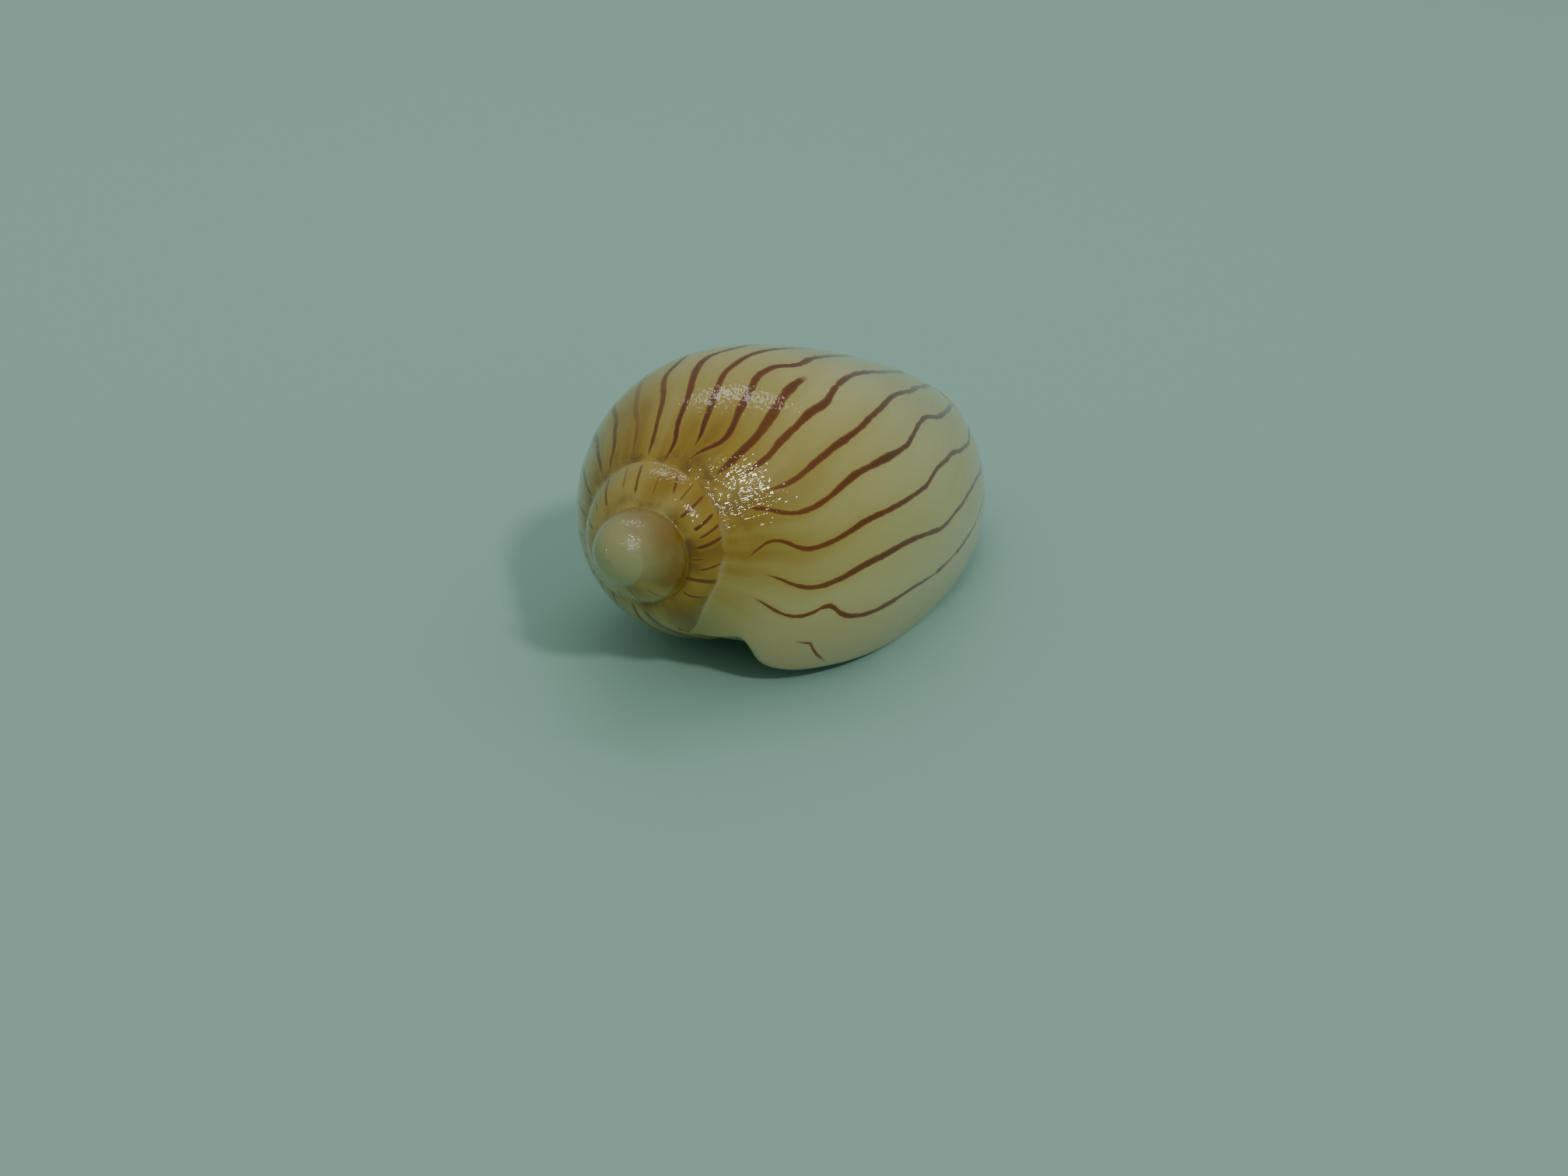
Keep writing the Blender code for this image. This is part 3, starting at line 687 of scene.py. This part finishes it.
# Where a growth line lies: turns, bent by a slow noise, times the lines in a turn, and the share scaled
def coilPlace(tree, place, growth, lineCount):
    bend = calc(tree, "SUBTRACT", noiseAt(tree, place, growthNoise["bendScale"], 1), 0.5)
    bent = calc(tree, "ADD", growth[0], calc(tree, "MULTIPLY", bend, growthNoise["bend"]))
    down = calc(tree, "MULTIPLY", growth[1], growthNoise["down"])
    return calc(tree, "MULTIPLY", bent, lineCount), down


def flat(tree, across, down):  # the two as a vector
    return addNode(tree, "ShaderNodeCombineXYZ", {0: across, 1: down}).outputs[0]


def lineHeight(tree, across, down):  # noise drawn out down the profile
    return noiseAt(tree, flat(tree, across, down), growthNoise["height"], 4, 0.6)


# The glaze's grain: noise in strokes shorter and finer than the growth lines, plus dots
def grainHeight(tree, place, across, down):
    across = calc(tree, "MULTIPLY", across, grain["across"])
    down = calc(tree, "MULTIPLY", down, grain["down"])
    dots = calc(tree, "MULTIPLY", noiseAt(tree, place, grain["dotScale"], 0, 0.5), grain["dots"])
    strokes = noiseAt(tree, flat(tree, across, down), 1.0, 1, 0.5)
    return calc(tree, "MULTIPLY_ADD", strokes, grain["strokes"], dots)


# Growth line group: the lines' height, tone and streaks, three noises along the coil, and the grain
def growthGroup():
    group, given, out = newGroup(
        "growthLines", [("Growth", "NodeSocketVector", None), ("Lines", "NodeSocketFloat", 60.0)],
        [("Height", "NodeSocketFloat"), ("Tone", "NodeSocketFloat"), ("Streak", "NodeSocketFloat"),
         ("Grain", "NodeSocketFloat")])
    place = addNode(group, "ShaderNodeTexCoord").outputs["Object"]
    across, down = coilPlace(group, place, splitOf(group, given["Growth"]), given["Lines"])
    group.links.new(lineHeight(group, across, down), out["Height"])
    along = flat(group, across, down)
    group.links.new(noiseAt(group, along, growthNoise["tone"], 2, 0.5), out["Tone"])
    group.links.new(noiseAt(group, along, growthNoise["streak"], 2, 0.45), out["Streak"])
    group.links.new(grainHeight(group, place, across, down), out["Grain"])
    return group


# Straight run from one range to another, held at its ends
def spread(tree, value, low, high, start=0.0, stop=1.0):
    given = {"Value": value, "From Min": low, "From Max": high, "To Min": start, "To Max": stop}
    return addNode(tree, "ShaderNodeMapRange", given).outputs[0]


def vectorOf(tree, name):  # a mesh attribute
    return addNode(tree, "ShaderNodeAttribute", attribute_name=name).outputs["Vector"]


def splitOf(tree, vector):  # its three parts
    return addNode(tree, "ShaderNodeSeparateXYZ", {0: vector}).outputs


# Fine relief in the normal: a bump of the given strength and depth in metres
def bumpOf(tree, strength, depth, height):
    given = {"Strength": strength, "Distance": depth, "Height": height}
    return addNode(tree, "ShaderNodeBump", given).outputs[0]


# The marking's own node groups, joined to the mesh's attributes, with the finish's own values
def marking(tree, stripeBand, growthLines, finish):
    band = addNode(tree, "ShaderNodeGroup", {}, node_tree=stripeBand)
    tree.links.new(vectorOf(tree, "stripe"), band.inputs["Stripe"])
    band.inputs["Unevenness"].default_value = finish["unevenness"]
    band.inputs["Softness"].default_value = finish["softness"]
    lines = addNode(tree, "ShaderNodeGroup", {}, node_tree=growthLines)
    tree.links.new(vectorOf(tree, "growth"), lines.inputs["Growth"])
    lines.inputs["Lines"].default_value = finish["lineCount"]
    return band.outputs, lines.outputs


# Glaze and what lies under it: grain in the roughness and the coat, growth lines below. The coat's
# relief, grain plus a share of the lines' height, is made from the material's own nodes
def glazed(tree, shader, growth, lines, finish):
    roughness = spread(tree, lines["Grain"], 0.4, 0.85, *finish["roughness"])
    tree.links.new(roughness, shader.inputs["Roughness"])
    soft = bumpOf(tree, finish["lineStrength"], finish["lineDepth"], lines["Height"])
    tree.links.new(soft, shader.inputs["Normal"])
    place = addNode(tree, "ShaderNodeTexCoord").outputs["Object"]
    across, down = coilPlace(tree, place, growth, finish["lineCount"])
    rise = calc(tree, "MULTIPLY", lineHeight(tree, across, down), finish["linesInGlaze"])
    rise = calc(tree, "ADD", rise, grainHeight(tree, place, across, down))
    broken = bumpOf(tree, finish["grainStrength"], finish["grainDepth"], rise)
    tree.links.new(broken, shader.inputs["Coat Normal"])
    shader.inputs["Specular IOR Level"].default_value = finish["ownShine"]
    shader.inputs["Coat Weight"].default_value = finish["coat"]
    shader.inputs["Coat Roughness"].default_value = finish["coatRoughness"]
    shader.inputs["Subsurface Weight"].default_value = finish["glow"]
    shader.inputs["Subsurface Radius"].default_value = finish["glowReach"]


polished = dict(
    cream=(0.45, 0.405, 0.150, 1), white=(0.53, 0.495, 0.230, 1), amber=(0.385, 0.250, 0.026, 1),
    deepAmber=(0.21, 0.100, 0.002, 1), rust=(0.190, 0.048, 0.000, 1), purple=(0.092, 0.020, 0.002, 1),
    pale=(0.46, 0.375, 0.205, 1), sutureLine=(0.46, 0.35, 0.22, 1), crustBrownAndSeamShade=(0.15, 0.065, 0.012, 1),
    domeGrey=(0.35, 0.325, 0.145, 1), domeYellow=(0.22, 0.112, 0.002, 1),
    unevenness=0.42, softness=0.22, lineCount=60,  # of the stripes' edges, and growth lines in a turn
    cloudScale=260, halo=(0.10, 0.42), deepStreaks=(0.06, 0.62), stripeCover=0.98,
    raggedScale=1100, crustScale=1000, crust=0.62, seamShade=0.85,
    coat=0.85, coatRoughness=0.03, ownShine=0.08, roughness=(0.28, 0.42),
    lineStrength=0.35, lineDepth=0.00005, grainStrength=1.0, grainDepth=0.000048, linesInGlaze=0.2,
    glow=0.08, glowReach=(0.0012, 0.0007, 0.0003))


# Outside: cream to amber ground, then amber halo, pale lip, dome, stripe, and the crust, pale line and
# painted shade at the seam laid over it in turn, under a glaze broken by fine grain
def polishedShell(stripeBand, growthLines):
    made = bpy.data.materials.new("polishedShell")
    made.use_nodes = True
    tree = made.node_tree
    shader = tree.nodes["Principled BSDF"]
    place = addNode(tree, "ShaderNodeTexCoord").outputs["Object"]
    tint = splitOf(tree, vectorOf(tree, "tint"))  # amber, pale, suture line
    growth = splitOf(tree, vectorOf(tree, "growth"))  # turns back, share, dome
    band, lines = marking(tree, stripeBand, growthLines, polished)
    cloud = noiseAt(tree, place, polished["cloudScale"], 3, 0.55)
    nearSuture = fall(tree, growth[1], 0.06, 0.30)
    amber = calc(tree, "MULTIPLY", tint[0], spread(tree, cloud, 0.3, 0.7, 0.75, 1.15))
    amber = calc(tree, "MULTIPLY", amber, spread(tree, lines["Streak"], 0.35, 0.65, 0.85, 1.10))
    tone = spread(tree, lines["Tone"], 0.35, 0.65, 0.0, 0.8)
    colour = blendColour(tree, tone, polished["cream"], polished["white"])
    colour = blendColour(tree, amber, colour, polished["amber"])
    streaks = spread(tree, lines["Streak"], 0.38, 0.64, *polished["deepStreaks"])
    deep = calc(tree, "MULTIPLY", calc(tree, "POWER", tint[0], 3.0), streaks)
    colour = blendColour(tree, deep, colour, polished["deepAmber"])
    halo = calc(tree, "MULTIPLY", band["Halo"], spread(tree, nearSuture, 0.0, 1.0, *polished["halo"]))
    colour = blendColour(tree, halo, colour, polished["amber"])
    colour = blendColour(tree, tint[1], colour, polished["pale"])
    yellow = calc(tree, "MULTIPLY", tint[0], spread(tree, cloud, 0.3, 0.6, 0.5, 1.0))
    domeColour = blendColour(tree, yellow, polished["domeGrey"], polished["domeYellow"])
    colour = blendColour(tree, growth[2], colour, domeColour)
    darkOld = calc(tree, "MULTIPLY", nearSuture, spread(tree, growth[0], 0.22, 0.34))
    darkFar = spread(tree, growth[1], 0.16, 0.32, 0.15, 0.95)
    dark = calc(tree, "MULTIPLY", band["Core"], calc(tree, "MAXIMUM", darkOld, darkFar))
    brown = blendColour(tree, dark, polished["rust"], polished["purple"])
    cover = calc(tree, "MULTIPLY", band["Mask"], polished["stripeCover"])
    colour = blendColour(tree, cover, colour, brown)
    ragged = spread(tree, noiseAt(tree, place, polished["raggedScale"], 4, 0.7), 0.44, 0.60)
    older = spread(tree, growth[0], 0.08, 0.24, 0.1, 0.95)
    besideSeam = calc(tree, "MULTIPLY", tint[0], older)
    besideSeam = calc(tree, "MULTIPLY", fall(tree, growth[1], 0.012, 0.075), besideSeam)
    crust = noiseAt(tree, place, polished["crustScale"], 4, 0.65)
    crust = spread(tree, crust, 0.46, 0.64, 0.0, polished["crust"])
    besideSeam = calc(tree, "MULTIPLY", besideSeam, crust)
    besideSeam = calc(tree, "MULTIPLY", besideSeam, calc(tree, "SUBTRACT", 1.0, growth[2]))
    colour = blendColour(tree, besideSeam, colour, polished["crustBrownAndSeamShade"])
    seam = calc(tree, "MULTIPLY", calc(tree, "MAXIMUM", tint[2], 0.0), ragged)
    colour = blendColour(tree, seam, colour, polished["sutureLine"])
    # below zero the suture line is painted shade beside the body's seam, and a brown line at the dome's
    # edge
    shade = calc(tree, "MAXIMUM", calc(tree, "MULTIPLY", tint[2], -1.0), 0.0)
    shade = calc(tree, "MULTIPLY", calc(tree, "MULTIPLY", shade, ragged), polished["seamShade"])
    colour = blendColour(tree, shade, colour, polished["crustBrownAndSeamShade"])
    tree.links.new(colour, shader.inputs["Base Color"])
    glazed(tree, shader, growth, lines, polished)
    return made


mouth = dict(
    white=(0.48, 0.44, 0.24, 1), ochre=(0.33, 0.175, 0.016, 1), callus=(0.44, 0.35, 0.13, 1),
    stripe=(0.13, 0.050, 0.012, 1), unevenness=0.6, softness=0.6, lineCount=40,
    cloudScale=180, callusCover=0.8, stripeCover=0.8,
    coat=0.8, coatRoughness=0.07, ownShine=0.15, roughness=(0.24, 0.38),
    lineStrength=0.3, lineDepth=0.00005, grainStrength=0.7, grainDepth=0.00003, linesInGlaze=0.0,
    glow=0.10, glowReach=(0.0014, 0.0008, 0.0003))


# Inside: pale at the edge, ochre within, stripes of the whorl beneath showing through the glaze
def glazedMouth(stripeBand, growthLines):
    made = bpy.data.materials.new("glazedMouth")
    made.use_nodes = True
    tree = made.node_tree
    shader = tree.nodes["Principled BSDF"]
    place = addNode(tree, "ShaderNodeTexCoord").outputs["Object"]
    tint = splitOf(tree, vectorOf(tree, "tint"))  # depth, callus, nothing
    band, lines = marking(tree, stripeBand, growthLines, mouth)
    cloud = noiseAt(tree, place, mouth["cloudScale"], 3, 0.5)
    deep = calc(tree, "MULTIPLY", tint[0], spread(tree, cloud, 0.25, 0.7, 0.72, 1.05))
    colour = blendColour(tree, deep, mouth["white"], mouth["ochre"])
    callus = calc(tree, "MULTIPLY", tint[1], mouth["callusCover"])
    colour = blendColour(tree, callus, colour, mouth["callus"])
    stripe = calc(tree, "MULTIPLY", band["Mask"], mouth["stripeCover"])
    colour = blendColour(tree, stripe, colour, mouth["stripe"])
    tree.links.new(colour, shader.inputs["Base Color"])
    glazed(tree, shader, splitOf(tree, vectorOf(tree, "growth")), lines, mouth)
    return made


stripeBand = stripeGroup()
growthLines = growthGroup()
points, faces, looks = shellMesh()
mesh = meshOf("stripedShell", lying(points), faces, looks)
mesh.materials.append(polishedShell(stripeBand, growthLines))
mesh.materials.append(glazedMouth(stripeBand, growthLines))
shell = bpy.data.objects.new("stripedShell", mesh)
bpy.context.scene.collection.objects.link(shell)
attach(shell, "root")
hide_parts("shell")
print("shell made,", len(mesh.polygons), "faces")

# Floor, light and camera
studio = dict(
    floor=(0.325, 0.55, 0.475, 1), floorReach=3.0, floorRoughness=0.6,
    horizon=(0.225, 0.345, 0.305, 1), overhead=(0.40, 0.44, 0.42, 1), paling=(0.10, 0.75),
    aim=(0, 0, 0.008),  # both lights point here
    sunWay=(0.385, 0.593, 0.707), sunPower=0.9, sunAngle=math.radians(6), sunColour=(1.0, 0.98, 0.94),
    stripPlace=(-0.098, -0.060, 0.383), stripSize=(0.035, 0.26), stripPower=0.16,
    stripColour=(0.96, 1.0, 1.0))
reach = studio["floorReach"]
floorMesh = bpy.data.meshes.new("floor")
floorMesh.from_pydata([(-reach, -reach, 0), (reach, -reach, 0), (reach, reach, 0), (-reach, reach, 0)],
                      [], [(0, 1, 2, 3)])
floor = bpy.data.objects.new("floor", floorMesh)
bpy.context.scene.collection.objects.link(floor)
floorFinish = bpy.data.materials.new("paleFloor")
floorFinish.use_nodes = True
floorShader = floorFinish.node_tree.nodes["Principled BSDF"]
floorShader.inputs["Base Color"].default_value = studio["floor"]
floorShader.inputs["Roughness"].default_value = studio["floorRoughness"]
floorMesh.materials.append(floorFinish)

# Room light: even at the height of the floor, paler overhead
world = bpy.data.worlds.new("softRoom")
world.use_nodes = True
sky = world.node_tree
up = splitOf(sky, addNode(sky, "ShaderNodeTexCoord").outputs["Generated"])[2]
skyColour = blendColour(sky, spread(sky, up, *studio["paling"]), studio["horizon"], studio["overhead"])
sky.links.new(skyColour, sky.nodes["Background"].inputs["Color"])
bpy.context.scene.world = world


# Rotation and place whose -Z looks along one direction and whose +Y stays nearest to up
def facing(place, look, up):
    look = np.array(look) / np.linalg.norm(look)
    right = np.cross(look, up)
    right /= np.linalg.norm(right)
    turned = np.eye(4)
    turned[:3, :3] = np.stack([right, np.cross(right, look), -look], 1)
    turned[:3, 3] = place
    return Matrix(turned.tolist())


def addLight(name, kind, place, up, power, colour):  # turned to the shell
    data = bpy.data.lights.new(name, kind)
    data.energy = power
    data.color = colour
    made = bpy.data.objects.new(name, data)
    made.matrix_world = facing(place, studio["aim"] - np.array(place), up)
    bpy.context.scene.collection.objects.link(made)
    return data


view = dict(place=(0.107465, 0.048727, 0.057366), look=(-0.81902, -0.37399, -0.43512),
            up=(-0.37304, -0.22911, 0.89908), lens=47.834, sensor=36, nearClip=0.01)
cameraData = bpy.data.cameras.new("camera")
cameraData.lens = view["lens"]
cameraData.sensor_width = view["sensor"]
cameraData.clip_start = view["nearClip"]
camera = bpy.data.objects.new("camera", cameraData)
camera.matrix_world = facing(view["place"], view["look"], view["up"])
bpy.context.scene.collection.objects.link(camera)
bpy.context.scene.camera = camera

sun = addLight("window", "SUN", studio["sunWay"], (0, 0, 1), studio["sunPower"], studio["sunColour"])
sun.angle = studio["sunAngle"]
strip = addLight("overhead", "AREA", studio["stripPlace"], (0, 1, 0), studio["stripPower"],
                 studio["stripColour"])
strip.shape = "RECTANGLE"
strip.size, strip.size_y = studio["stripSize"]
print("floor, lights and camera made")
